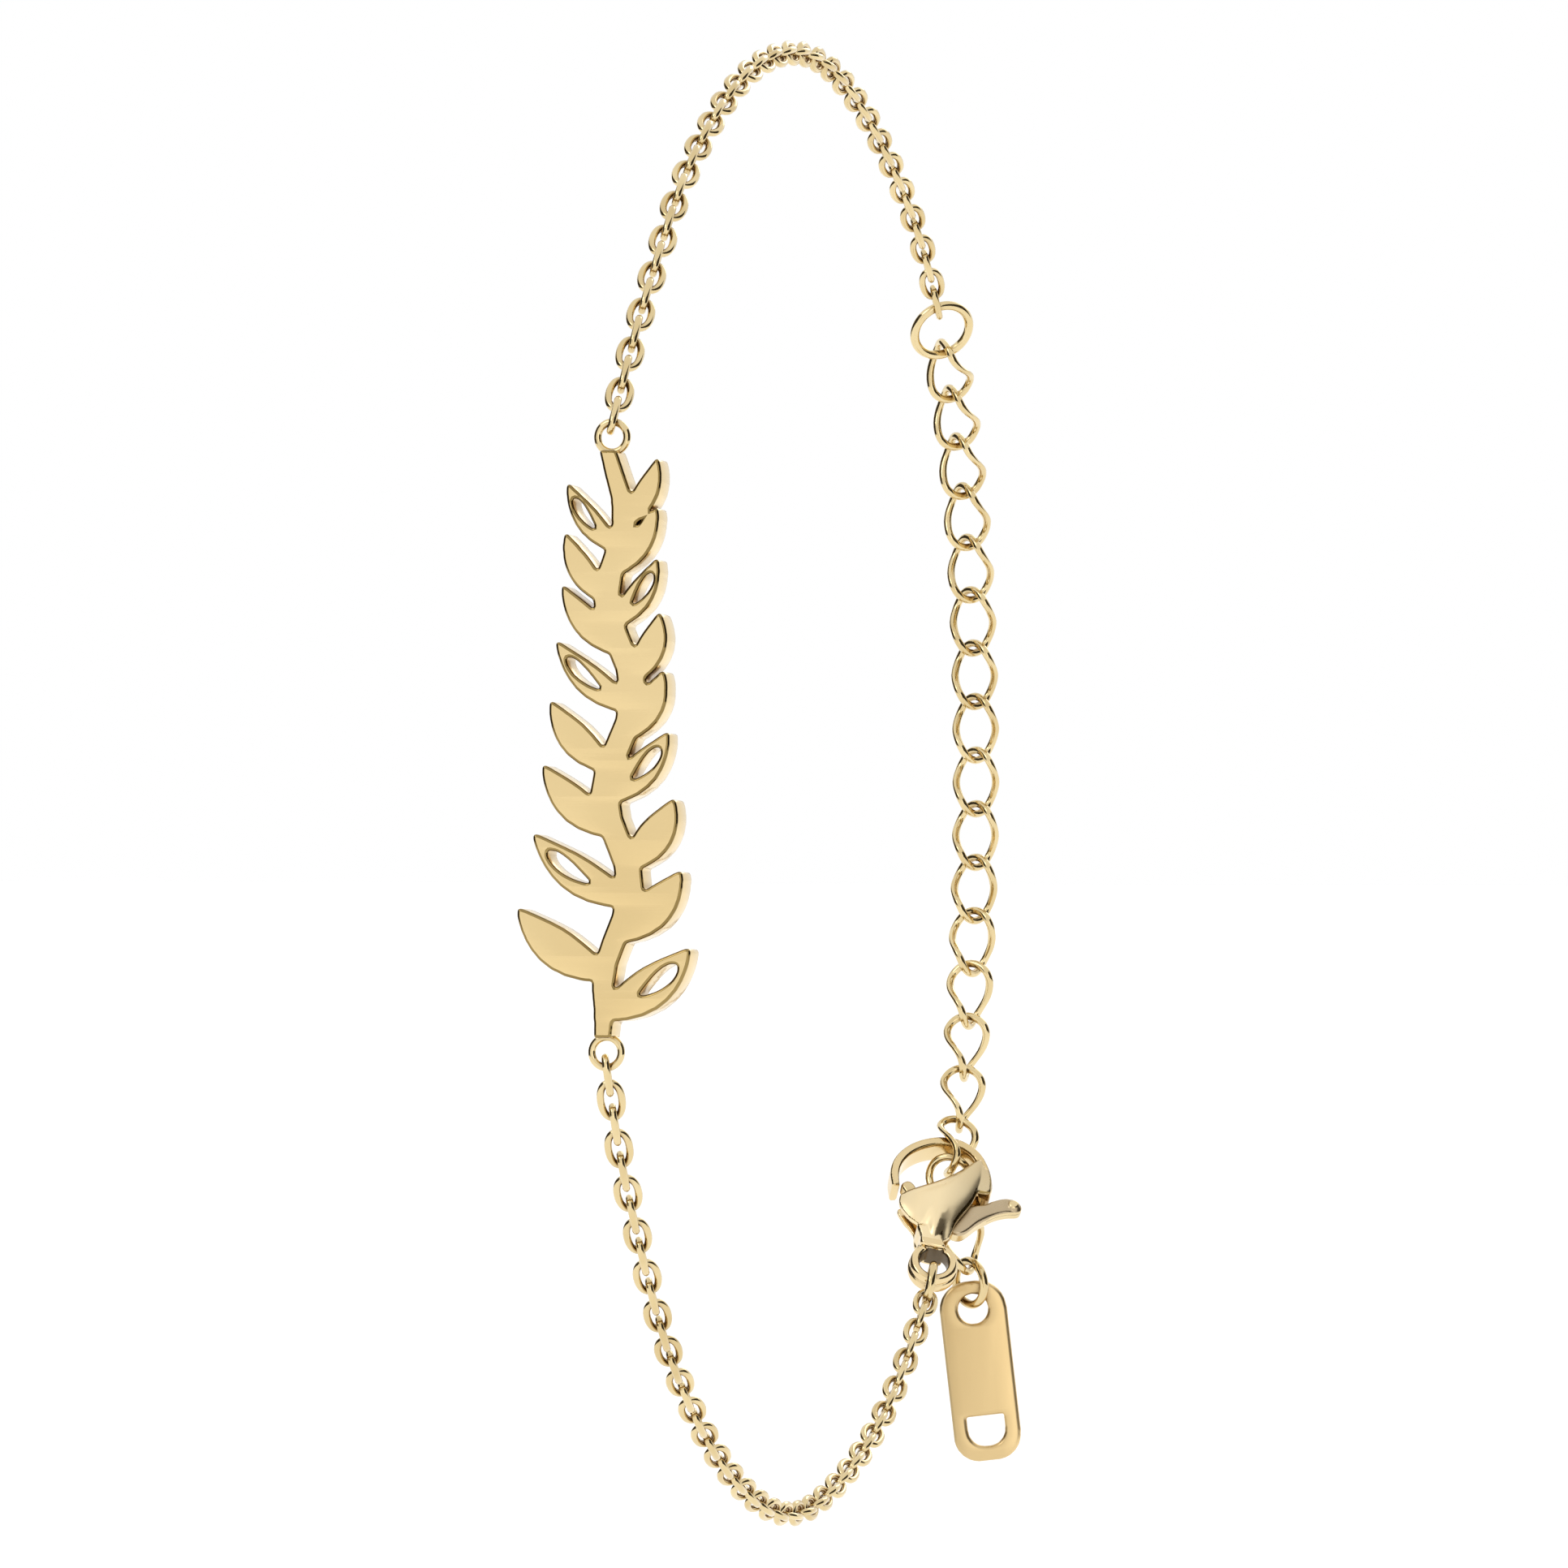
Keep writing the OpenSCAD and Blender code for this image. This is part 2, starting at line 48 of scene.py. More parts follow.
# Sizes of the round wire pieces, in millimetres, as the model has them
CABLE_L, CABLE_W, CABLE_WIRE = 2.08, 1.28, 0.34
EXT_L, EXT_W, EXT_WIRE, EXT_TWIST = 3.70, 2.44, 0.40, 90
END_RING, END_RING_WIRE = 3.40, 0.46
TAG_RING, TAG_RING_WIRE = 2.70, 0.45
PLATE_RING, PLATE_SPAN, PLATE_T, PLATE_LEAN = 1.68, 27.2, 1.6, 2.0
PLATE_MID = (0.0, -34.405, 1.61)
PLATE_RIM = 0.13
TAG_T, TAG_RIM = 0.6, 0.2
CLASP_RING, CLASP_RING_WIRE = 2.50, 0.45
# Turn from -Y, in degrees, of the side that the links face
FACE_TURN = 14.6
FACING = Vector((math.sin(math.radians(FACE_TURN)), -math.cos(math.radians(FACE_TURN)), 0.0))
# Squareness of a fine link's oval: 2 is an ellipse
LINK_POWER = 2.25
# Half the band, in millimetres, at a twisted link's middle that shows how its strands lie
MID_BAND = 0.25

# Camera, as the photo was taken: turn in degrees from -Y, aim and distance in metres
CAMERA_TURN = 14.65
CAMERA_AIM = (0.0, -3.93, -0.14)
CAMERA_DISTANCE = 0.42105
CAMERA_LENS, CAMERA_SENSOR = 203.5, 36.0
FLOOR_Z, FLOOR_SIZE = -0.075, 12
FLOOR_GLOW = 0.15
CARD_REACH, CARD_HEIGHT = 0.42, 0.66
# Dark tone of the painted shade where surfaces come close together
CREVICE_SHADE = (0.30, 0.19, 0.08, 1)


# Stage: camera, floor, light

def camera():
    """The camera at the photograph's viewing angle."""
    turn = math.radians(CAMERA_TURN)
    target = Vector(CAMERA_AIM) * MM
    back = Vector((math.sin(turn), -math.cos(turn), 0.0))
    data = bpy.data.cameras.new("photo_camera")
    data.sensor_fit = "HORIZONTAL"
    data.sensor_width = CAMERA_SENSOR
    data.lens = CAMERA_LENS
    data.clip_start = 0.01
    data.clip_end = 20.0
    cam = bpy.data.objects.new("photo_camera", data)
    bpy.context.collection.objects.link(cam)
    cam.location = target + back * CAMERA_DISTANCE
    cam.rotation_euler = (target - cam.location).to_track_quat("-Z", "Y").to_euler()
    bpy.context.scene.camera = cam


def plain_material(name, colour, rough):
    """A plain matt material for the stage."""
    mat = bpy.data.materials.new(name)
    mat.use_nodes = True
    shader = mat.node_tree.nodes["Principled BSDF"]
    shader.inputs["Base Color"].default_value = (*colour, 1)
    shader.inputs["Roughness"].default_value = rough
    return mat


def quad(name, centre, normal, width, height, mat, glossy_only=False):
    """A flat rectangle facing along normal, part of the stage."""
    rot = Vector(normal).to_track_quat("Z", "Y").to_matrix()
    corners = [Vector(centre) + rot @ Vector((sx * width / 2, sy * height / 2, 0))
               for sx, sy in ((-1, -1), (1, -1), (1, 1), (-1, 1))]
    mesh = bpy.data.meshes.new(name)
    mesh.from_pydata([tuple(c) for c in corners], [], [(0, 1, 2, 3)])
    mesh.materials.append(mat)
    obj = bpy.data.objects.new(name, mesh)
    bpy.context.collection.objects.link(obj)
    if glossy_only:
        obj.visible_camera = False
        obj.visible_diffuse = False
        obj.visible_shadow = False


def area_light(name, place, aim, size, power, colour=(1, 1, 1)):
    """A soft rectangular light at a place, turned to its aim."""
    data = bpy.data.lights.new(name, "AREA")
    data.shape = "RECTANGLE"
    data.size, data.size_y = size
    data.energy = power
    data.color = colour
    obj = bpy.data.objects.new(name, data)
    bpy.context.collection.objects.link(obj)
    obj.location = place
    obj.rotation_euler = (Vector(aim) - Vector(place)).to_track_quat("-Z", "Y").to_euler()


def stage():
    """Pale floor, white surroundings, three soft lights and two dark cards."""
    floor = plain_material("floor_white", (0.93, 0.93, 0.93), 0.8)
    glow = floor.node_tree.nodes["Principled BSDF"]
    glow.inputs["Emission Color"].default_value = (1, 1, 1, 1)
    glow.inputs["Emission Strength"].default_value = FLOOR_GLOW
    quad("floor", (0, 0, FLOOR_Z), (0, 0, 1), FLOOR_SIZE, FLOOR_SIZE, floor)
    world = bpy.data.worlds.new("studio")
    bpy.context.scene.world = world
    world.use_nodes = True
    world.node_tree.nodes["Background"].inputs["Color"].default_value = (1.0, 1.0, 1.0, 1)
    world.node_tree.nodes["Background"].inputs["Strength"].default_value = 1.0
    dark = plain_material("card_dark", (0.028, 0.022, 0.015), 1.0)
    # Dark cards at the sides give polished edges their dark lines
    quad("card_left", (-CARD_REACH, -0.12, 0.0), (1, 0, 0), 0.84, CARD_HEIGHT, dark, True)
    quad("card_right", (CARD_REACH, -0.08, 0.0), (-1, 0, 0), 0.76, CARD_HEIGHT, dark, True)
    warm = (1.0, 0.985, 0.95)
    area_light("key", (-0.30, -0.50, 0.40), (0, -0.01, 0), (0.26, 0.26), 0.40, warm)
    area_light("fill", (0.26, -0.55, 0.05), (0, 0, 0), (0.16, 0.34), 0.12)
    area_light("rim", (0.10, 0.50, 0.30), (0, 0.02, 0), (0.25, 0.25), 0.30)
    bpy.context.scene.view_settings.view_transform = "Standard"
    bpy.context.scene.view_settings.look = "None"


# Gold

def gold(name, light, deep, rough, bump, patch, grain=900.0, brushed=None, light_sweep=None):
    """Polished or satin gold: slight tone patches, painted shade where surfaces come close together, an
    optional painted light sweep, fine wear in the polish and tiny scratches.
    """
    mat = bpy.data.materials.new(name)
    mat.use_nodes = True
    tree = mat.node_tree
    nodes, links = tree.nodes, tree.links
    shader = nodes["Principled BSDF"]
    shader.inputs["Metallic"].default_value = 1.0
    coord = nodes.new("ShaderNodeTexCoord")
    tone = nodes.new("ShaderNodeTexNoise")
    tone.inputs["Scale"].default_value = patch
    tone.inputs["Detail"].default_value = 3.0
    ramp = nodes.new("ShaderNodeValToRGB")
    ramp.color_ramp.elements[0].position = 0.32
    ramp.color_ramp.elements[0].color = (*deep, 1)
    ramp.color_ramp.elements[1].position = 0.66
    ramp.color_ramp.elements[1].color = (*light, 1)
    links.new(coord.outputs["Object"], tone.inputs["Vector"])
    links.new(tone.outputs["Fac"], ramp.inputs["Fac"])
    # painted shade: the colour darkens to a dark tone where surfaces come close together
    near = nodes.new("ShaderNodeAmbientOcclusion")
    near.samples = 8
    near.inputs["Distance"].default_value = 0.0005
    dusk = nodes.new("ShaderNodeMapRange")
    dusk.inputs["From Min"].default_value = 0.25
    dusk.inputs["From Max"].default_value = 0.85
    mix = nodes.new("ShaderNodeMix")
    mix.data_type = "RGBA"
    mix.inputs["A"].default_value = CREVICE_SHADE
    links.new(near.outputs["AO"], dusk.inputs["Value"])
    links.new(dusk.outputs["Result"], mix.inputs["Factor"])
    # a painted light and shade sweep, when given, multiplies the colour along an axis
    if light_sweep is None:
        links.new(ramp.outputs["Color"], mix.inputs["B"])
    else:
        links.new(painted_light_ramp(nodes, links, coord, ramp, *light_sweep), mix.inputs["B"])
    links.new(mix.outputs["Result"], shader.inputs["Base Color"])
    fine = nodes.new("ShaderNodeTexNoise")
    fine.inputs["Scale"].default_value = grain
    fine.inputs["Detail"].default_value = 5.0
    if brushed is not None:
        stretch = nodes.new("ShaderNodeMapping")
        stretch.inputs["Scale"].default_value = brushed
        links.new(coord.outputs["Object"], stretch.inputs["Vector"])
        links.new(stretch.outputs["Vector"], fine.inputs["Vector"])
    else:
        links.new(coord.outputs["Object"], fine.inputs["Vector"])
    spread = nodes.new("ShaderNodeMapRange")
    spread.inputs["To Min"].default_value = rough[0]
    spread.inputs["To Max"].default_value = rough[1]
    links.new(fine.outputs["Fac"], spread.inputs["Value"])
    links.new(spread.outputs["Result"], shader.inputs["Roughness"])
    relief = nodes.new("ShaderNodeBump")
    relief.inputs["Strength"].default_value = bump
    relief.inputs["Distance"].default_value = 0.00002
    links.new(fine.outputs["Fac"], relief.inputs["Height"])
    links.new(relief.outputs["Normal"], shader.inputs["Normal"])
    return mat


def painted_light_ramp(nodes, links, coord, ramp, axis, start, end, light_stops):
    """Painted light and shade that change along an axis, from start to end in metres, over the given
    stops.
    """
    place = nodes.new("ShaderNodeVectorMath")
    place.operation = "DOT_PRODUCT"
    place.inputs[1].default_value = axis
    links.new(coord.outputs["Object"], place.inputs[0])
    share = nodes.new("ShaderNodeMapRange")
    share.inputs["From Min"].default_value = start
    share.inputs["From Max"].default_value = end
    links.new(place.outputs["Value"], share.inputs["Value"])
    tone = nodes.new("ShaderNodeValToRGB")
    stops = tone.color_ramp.elements
    while len(stops) < len(light_stops):
        stops.new(0.5)
    for stop, (at, value) in zip(stops, light_stops):
        stop.position = at
        stop.color = (value, value, value, 1)
    links.new(share.outputs["Result"], tone.inputs["Fac"])
    times = nodes.new("ShaderNodeMix")
    times.data_type = "RGBA"
    times.blend_type = "MULTIPLY"
    times.inputs["Factor"].default_value = 1.0
    links.new(ramp.outputs["Color"], times.inputs["A"])
    links.new(tone.outputs["Color"], times.inputs["B"])
    return times.outputs["Result"]


# Mesh helpers

def new_piece(name, verts, faces, mat):
    """A smooth-shaded mesh object."""
    mesh = bpy.data.meshes.new(name)
    mesh.from_pydata([tuple(v) for v in verts], [], faces)
    mesh.materials.append(mat)
    mesh.polygons.foreach_set("use_smooth", [True] * len(mesh.polygons))
    mesh.update()
    obj = bpy.data.objects.new(name, mesh)
    bpy.context.collection.objects.link(obj)
    return obj


def tube_faces(around, section):
    """Faces of a closed tube with so many sections of so many corners."""
    faces = []
    for i in range(around):
        for j in range(section):
            a, b = i * section, ((i + 1) % around) * section
            k = (j + 1) % section
            faces.append((a + j, a + k, b + k, b + j))
    return faces


def loop_mesh(l, w, wire, twist, around, section):
    """An oval loop of wire in XZ, in millimetres, twisted about Z: vertices and faces."""
    r, straight = (w - wire) / 2, (l - w) / 2
    reach = straight + 0.7 * r
    # even steps along the middle line
    total = 2 * math.pi * r + 4 * straight
    spots = []
    for i in range(around):
        s = total * i / around
        if s < straight:
            p, n = (r, s), (1, 0)
        elif s < straight + math.pi * r:
            a = (s - straight) / r
            p, n = (r * math.cos(a), straight + r * math.sin(a)), (math.cos(a), math.sin(a))
        elif s < 3 * straight + math.pi * r:
            p, n = (-r, straight - (s - straight - math.pi * r)), (-1, 0)
        elif s < 3 * straight + 2 * math.pi * r:
            a = math.pi + (s - 3 * straight - math.pi * r) / r
            p, n = (r * math.cos(a), -straight + r * math.sin(a)), (math.cos(a), math.sin(a))
        else:
            p, n = (r, s - total), (1, 0)
        spots.append((p, n))
    verts = []
    for (px, pz), (nx, nz) in spots:
        phi = -math.radians(twist) / 2 * math.sin(math.pi / 2 * max(-1.0, min(1.0, pz / reach)))
        for j in range(section):
            b = 2 * math.pi * j / section
            x = px + nx * wire / 2 * math.cos(b)
            z = pz + nz * wire / 2 * math.cos(b)
            y = wire / 2 * math.sin(b)
            verts.append((x * math.cos(phi) - y * math.sin(phi),
                          x * math.sin(phi) + y * math.cos(phi), z))
    return verts, tube_faces(around, section)


def oval_mesh(l, w, wire, power, around, section):
    """A rounder closed oval of wire in XZ, in millimetres: vertices and faces."""
    a, b = (w - wire) / 2, (l - wire) / 2
    t = 2 * math.pi * np.arange(around) / around
    c, s = np.cos(t), np.sin(t)
    line = np.column_stack((a * np.sign(c) * np.abs(c) ** (2 / power),
                            b * np.sign(s) * np.abs(s) ** (2 / power)))
    ahead = np.roll(line, -1, 0) - np.roll(line, 1, 0)
    ahead /= np.linalg.norm(ahead, axis=1)[:, None]
    out = np.column_stack((ahead[:, 1], -ahead[:, 0]))
    verts = []
    for i in range(around):
        for j in range(section):
            q = 2 * math.pi * j / section
            p = line[i] + out[i] * wire / 2 * math.cos(q)
            verts.append((p[0], wire / 2 * math.sin(q), p[1]))
    return verts, tube_faces(around, section)


def islands(node):
    """The loose parts of a node, each as an array of its corners in millimetres."""
    mesh = NODES[node].data
    bm = bmesh.new()
    bm.from_mesh(mesh)
    bmesh.ops.remove_doubles(bm, verts=bm.verts, dist=1e-6)
    bm.verts.ensure_lookup_table()
    seen, parts = set(), []
    for v in bm.verts:
        if v.index in seen:
            continue
        stack, part = [v], []
        seen.add(v.index)
        while stack:
            u = stack.pop()
            part.append(u.co[:])
            for e in u.link_edges:
                o = e.other_vert(u)
                if o.index not in seen:
                    seen.add(o.index)
                    stack.append(o)
        parts.append(np.array(part) * 1000)
    bm.free()
    return parts


def loop_frame(points):
    """Middle and axes of a flat oval loop: across, through and along, as matrix columns."""
    c = points.mean(0)
    _, _, axes = np.linalg.svd(points - c)
    along, across, _ = axes
    through = np.cross(along, across)
    return c, np.column_stack((across, through, along))


def twisted_frame(points):
    """The same for a twisted loop: across runs through both strands at mid height."""
    c = points.mean(0)
    _, _, axes = np.linalg.svd(points - c)
    along = axes[0]
    rel = points - c
    mid = rel[np.abs(rel @ along) < MID_BAND]
    _, _, m = np.linalg.svd(mid)
    across = m[0] - along * (m[0] @ along)
    across /= np.linalg.norm(across)
    return c, np.column_stack((across, np.cross(along, across), along))


def ring_frame(points):
    """The same for a round ring, whose turn in its own plane doesn't matter."""
    c = points.mean(0)
    _, _, axes = np.linalg.svd(points - c)
    through = axes[2]
    return c, np.column_stack((axes[0], through, np.cross(axes[0], through)))


def placed(verts, c, m):
    """Corners in millimetres moved to a middle and axes, in metres."""
    return (np.array(verts) @ m.T + c) * MM


def merged(name, chunks, mat):
    """One piece from several sets of corners and faces."""
    verts, faces, base = [], [], 0
    for v, f in chunks:
        verts.extend(v.tolist())
        faces.extend([tuple(i + base for i in face) for face in f])
        base += len(v)
    return new_piece(name, verts, faces, mat)


def hand_over(piece, node, body="bracelet"):
    """Ties a piece to its body and hides the node that it stands for."""
    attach(piece, body)
    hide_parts(node)


# Chains, extender and rings

def chains(mat):
    """Every loose link of the two fine chains, each where the model has it."""
    base, faces = oval_mesh(CABLE_L, CABLE_W, CABLE_WIRE, LINK_POWER, 36, 10)
    for node in ("upper_chain", "lower_chain"):
        chunks = []
        for part in islands(node):
            c, m = loop_frame(part)
            chunks.append((placed(base, c, m), faces))
        hand_over(merged(node + "_links", chunks, mat), node)


def extender(mat):
    """The twisted links of the extender, a piece each."""
    base, faces = loop_mesh(EXT_L, EXT_W, EXT_WIRE, EXT_TWIST, 48, 14)
    for node in sorted(n for n in NODES if n.startswith("extender_link")):
        c, m = twisted_frame(islands(node)[0])
        hand_over(merged(node + "_wire", [(placed(base, c, m), faces)], mat), node)


def rings(mat):
    """The three round rings that join chain, extender, tag and clasp."""
    sizes = (("end_ring", END_RING, END_RING_WIRE),
             ("tag_ring", TAG_RING, TAG_RING_WIRE),
             ("clasp_link", CLASP_RING, CLASP_RING_WIRE))
    for node, d, wire in sizes:
        base, faces = loop_mesh(d, d, wire, 0, 72, 18)
        c, m = ring_frame(islands(node)[0])
        hand_over(merged(node + "_wire", [(placed(base, c, m), faces)], mat), node)


# Flat plates with a rounded rim, from the outline of the node's own front face

RIM_STEPS = 3
OUTLINE_CELL, OUTLINE_SPACING = 0.03, 0.07

def front_triangles(node, x, z, n):
    """The node's flat face towards n, as triangles in its own plane, and the plane's distance."""
    mesh = NODES[node].data
    mesh.calc_loop_triangles()
    co = np.empty(len(mesh.vertices) * 3)
    mesh.vertices.foreach_get("co", co)
    co = co.reshape(-1, 3) * 1000
    tri = np.empty(len(mesh.loop_triangles) * 3, dtype=np.int64)
    mesh.loop_triangles.foreach_get("vertices", tri)
    corners = co[tri.reshape(-1, 3)]
    normal = np.cross(corners[:, 1] - corners[:, 0], corners[:, 2] - corners[:, 0])
    size = np.linalg.norm(normal, axis=1)
    n = np.array(n)
    keep = (normal @ n) > 0.999 * np.maximum(size, 1e-12)
    far = (corners[keep] @ n).max()
    keep &= np.abs((corners @ n).mean(1) - far) < 0.01
    flat = corners[keep]
    return np.stack((flat @ np.array(x), flat @ np.array(z)), -1), far


def soft_outlines(triangles, cell, blur):
    """Closed outlines of a set of flat triangles, with their corners eased."""
    low = triangles.reshape(-1, 2).min(0) - 8 * cell
    size = np.ceil((triangles.reshape(-1, 2).max(0) + 8 * cell - low) / cell).astype(int)
    filled = np.zeros(size)
    for t in triangles:
        i0 = np.floor((t.min(0) - low) / cell).astype(int)
        i1 = np.ceil((t.max(0) - low) / cell).astype(int) + 1
        gx, gz = np.meshgrid(np.arange(i0[0], i1[0]), np.arange(i0[1], i1[1]), indexing="ij")
        px, pz = low[0] + gx * cell, low[1] + gz * cell
        inside = np.ones(px.shape, bool)
        for k in range(3):
            p, q = t[k], t[(k + 1) % 3]
            inside &= (q[0] - p[0]) * (pz - p[1]) - (q[1] - p[1]) * (px - p[0]) >= -1e-9
        if not inside.any():
            inside = np.ones(px.shape, bool)
            for k in range(3):
                p, q = t[k], t[(k + 1) % 3]
                inside &= (q[0] - p[0]) * (pz - p[1]) - (q[1] - p[1]) * (px - p[0]) <= 1e-9
        filled[gx[inside], gz[inside]] = 1.0
    reach = int(3 * blur / cell) + 1
    kernel = np.exp(-0.5 * (np.arange(-reach, reach + 1) * cell / blur) ** 2)
    kernel /= kernel.sum()
    field = np.apply_along_axis(lambda v: np.convolve(v, kernel, "same"), 0, filled)
    field = np.apply_along_axis(lambda v: np.convolve(v, kernel, "same"), 1, field) - 0.5
    # walk the cells that the edge crosses
    ways = {}
    a, b, c, d = field[:-1, :-1], field[1:, :-1], field[1:, 1:], field[:-1, 1:]
    code = (a > 0) * 1 + (b > 0) * 2 + (c > 0) * 4 + (d > 0) * 8
    table = {1: [(3, 0)], 2: [(0, 1)], 3: [(3, 1)], 4: [(1, 2)], 5: [(3, 0), (1, 2)],
             6: [(0, 2)], 7: [(3, 2)], 8: [(2, 3)], 9: [(2, 0)], 10: [(0, 1), (2, 3)],
             11: [(2, 1)], 12: [(1, 3)], 13: [(1, 0)], 14: [(0, 3)]}

    def edge(i, j, side):
        return {0: ((i, j), (i + 1, j)), 1: ((i + 1, j), (i + 1, j + 1)),
                2: ((i, j + 1), (i + 1, j + 1)), 3: ((i, j), (i, j + 1))}[side]

    for i, j in zip(*np.nonzero((code > 0) & (code < 15))):
        for start, end in table[int(code[i, j])]:
            ways[edge(i, j, start)] = edge(i, j, end)
    loops = []
    while ways:
        here = next(iter(ways))
        pts = []
        while here in ways:
            (i0, j0), (i1, j1) = here
            f0, f1 = field[i0, j0], field[i1, j1]
            t = f0 / (f0 - f1)
            pts.append(low + cell * np.array((i0 + t * (i1 - i0), j0 + t * (j1 - j0))))
            here = ways.pop(here)
        if len(pts) > 12:
            loops.append(np.array(pts))
    return loops


def eased(points, spacing, rounds=4):
    """Smooths a closed outline a little and spaces its points evenly."""
    p = points
    for _ in range(rounds):
        p = 0.25 * np.roll(p, 1, 0) + 0.5 * p + 0.25 * np.roll(p, -1, 0)
    step = np.linalg.norm(np.roll(p, -1, 0) - p, axis=1)
    run = np.concatenate(([0], np.cumsum(step)))
    closed = np.vstack((p, p[:1]))
    count = max(12, int(run[-1] / spacing))
    at = np.linspace(0, run[-1], count, endpoint=False)
    return np.column_stack((np.interp(at, run, closed[:, 0]), np.interp(at, run, closed[:, 1])))


def pressed(name, loops, thick, rim, matrix, mat, rim_reflection_mat=None):
    """A plate with rounded rims from flat outlines, its middle plane at the matrix's XY."""
    curve = bpy.data.curves.new(name, "CURVE")
    curve.dimensions = "2D"
    curve.fill_mode = "BOTH"
    curve.extrude = thick / 2 - rim
    curve.bevel_depth = rim
    curve.bevel_resolution = RIM_STEPS
    curve.offset = -rim
    for pts in loops:
        spline = curve.splines.new("POLY")
        spline.points.add(len(pts) - 1)
        for spot, p in zip(spline.points, pts):
            spot.co = (p[0], p[1], 0, 1)
        spline.use_cyclic_u = True
    obj = bpy.data.objects.new(name + "_curve", curve)
    bpy.context.collection.objects.link(obj)
    bpy.context.view_layer.update()
    mesh = bpy.data.meshes.new_from_object(obj.evaluated_get(bpy.context.evaluated_depsgraph_get()))
    bpy.data.objects.remove(obj)
    mesh.transform(matrix)
    mesh.materials.clear()
    mesh.materials.append(mat)
    bm = bmesh.new()
    bm.from_mesh(mesh)
    bmesh.ops.remove_doubles(bm, verts=bm.verts, dist=2e-4)
    bmesh.ops.recalc_face_normals(bm, faces=bm.faces)
    bm.to_mesh(mesh)
    bm.free()
    # the flat faces stay flat and the rims are smooth
    facing = matrix.to_3x3() @ Vector((0, 0, 1))
    lean = [abs(p.normal.dot(facing)) for p in mesh.polygons]
    mesh.polygons.foreach_set("use_smooth", [a < 0.999 for a in lean])
    # the slanted rim faces take a painted dark reflection when it is given
    if rim_reflection_mat is not None:
        mesh.materials.append(rim_reflection_mat)
        mesh.polygons.foreach_set("material_index", [int(0.15 < a < 0.99) for a in lean])
    mesh.set_sharp_from_angle(angle=math.radians(40))
    piece = bpy.data.objects.new(name, mesh)
    bpy.context.collection.objects.link(piece)
    return piece


def plate_from(node, name, up, normal, thick, rim, mat, rim_reflection_mat=None, blur=0.06):
    """A plate with soft rims and corners, cut to the node's front face. Millimetres."""
    n = Vector(normal).normalized()
    z = (Vector(up) - n * Vector(up).dot(n)).normalized()
    x = z.cross(n)
    triangles, far = front_triangles(node, x, z, n)
    loops = [eased(pts, OUTLINE_SPACING) for pts in soft_outlines(triangles, OUTLINE_CELL, blur)]
    mid = far - thick / 2
    matrix = Matrix(((x.x, z.x, n.x, n.x * mid), (x.y, z.y, n.y, n.y * mid),
                     (x.z, z.z, n.z, n.z * mid), (0, 0, 0, 1)))
    piece = pressed(name, loops, thick, rim, matrix, mat, rim_reflection_mat)
    piece.data.transform(Matrix.Scale(MM, 4))
    return piece


def nameplate(mat, rim_reflection_mat, ring_mat):
    """The pierced branch, and the two rings soldered to its ends."""
    lean = math.radians(PLATE_LEAN)
    normal = (0, -math.cos(lean), math.sin(lean))
    up = Vector((0, math.sin(lean), math.cos(lean)))
    plate = plate_from("nameplate", "plate_branch", up, normal, PLATE_T, PLATE_RIM, mat, rim_reflection_mat)
    chunks = []
    base, faces = loop_mesh(PLATE_RING, PLATE_RING, CABLE_WIRE, 0, 48, 14)
    m = np.column_stack(((1, 0, 0), tuple(up.cross(Vector((1, 0, 0)))), tuple(up)))
    for side in (-1, 1):
        c = np.array(PLATE_MID) + side * PLATE_SPAN / 2 * np.array(up)
        chunks.append((placed(base, c, m), faces))
    loops = merged("plate_rings", chunks, ring_mat)
    loops.parent = plate
    hand_over(plate, "nameplate")


def tag():
    """The end tag, in satin gold with painted light and shade across it."""
    pts = islands("tag")[0]
    _, _, axes = np.linalg.svd(pts - pts.mean(0))
    n = axes[2] if axes[2] @ np.array(FACING) > 0 else -axes[2]
    up = axes[0] if axes[0][2] > 0 else -axes[0]
    # painted light and shade: its colour runs from a shaded left edge to a highlighted right one
    across = np.cross(up, n)
    side = (pts - pts.mean(0)) @ across
    middle = float(pts.mean(0) @ across)
    light_stops = [(0.0, 0.66), (0.05, 0.74), (0.20, 0.82), (0.70, 0.84), (0.88, 0.96), (1.0, 1.0)]
    mat = gold("tag_gold", (0.84, 0.625, 0.315), (0.75, 0.545, 0.265), (0.26, 0.38), 0.10, 60,
               brushed=(1.0, 1.0, 0.06), grain=2600,
               light_sweep=(tuple(across), (middle + side.min()) * MM, (middle + side.max()) * MM, light_stops))
    piece = plate_from("tag", "tag_plate", tuple(up), tuple(n), TAG_T, TAG_RIM, mat, blur=0.04)
    hand_over(piece, "tag")


# Clasp: outlines run across as shares of its width and down from the hook's top as
# shares of its length, as the model has them

CLASP_L, CLASP_W = 9.0, 5.2
HOOK_T, HOOK_DEPTH = 0.5, 1.14
# How much deeper the hook's band is at its tip, to the front and to the rear
TIP_FRONT, TIP_REAR = 0.02, 0.42
SLOT_W, WALL = 0.98, 0.5
# Rise of the shield over the front wall, at its rim and at its middle, and its ridge
SHIELD_RIM, SHIELD_TOP, SHIELD_RIDGE = 0.34, 0.20, 0.15
BACK_RIM = 0.30
LEVER_T = 0.86
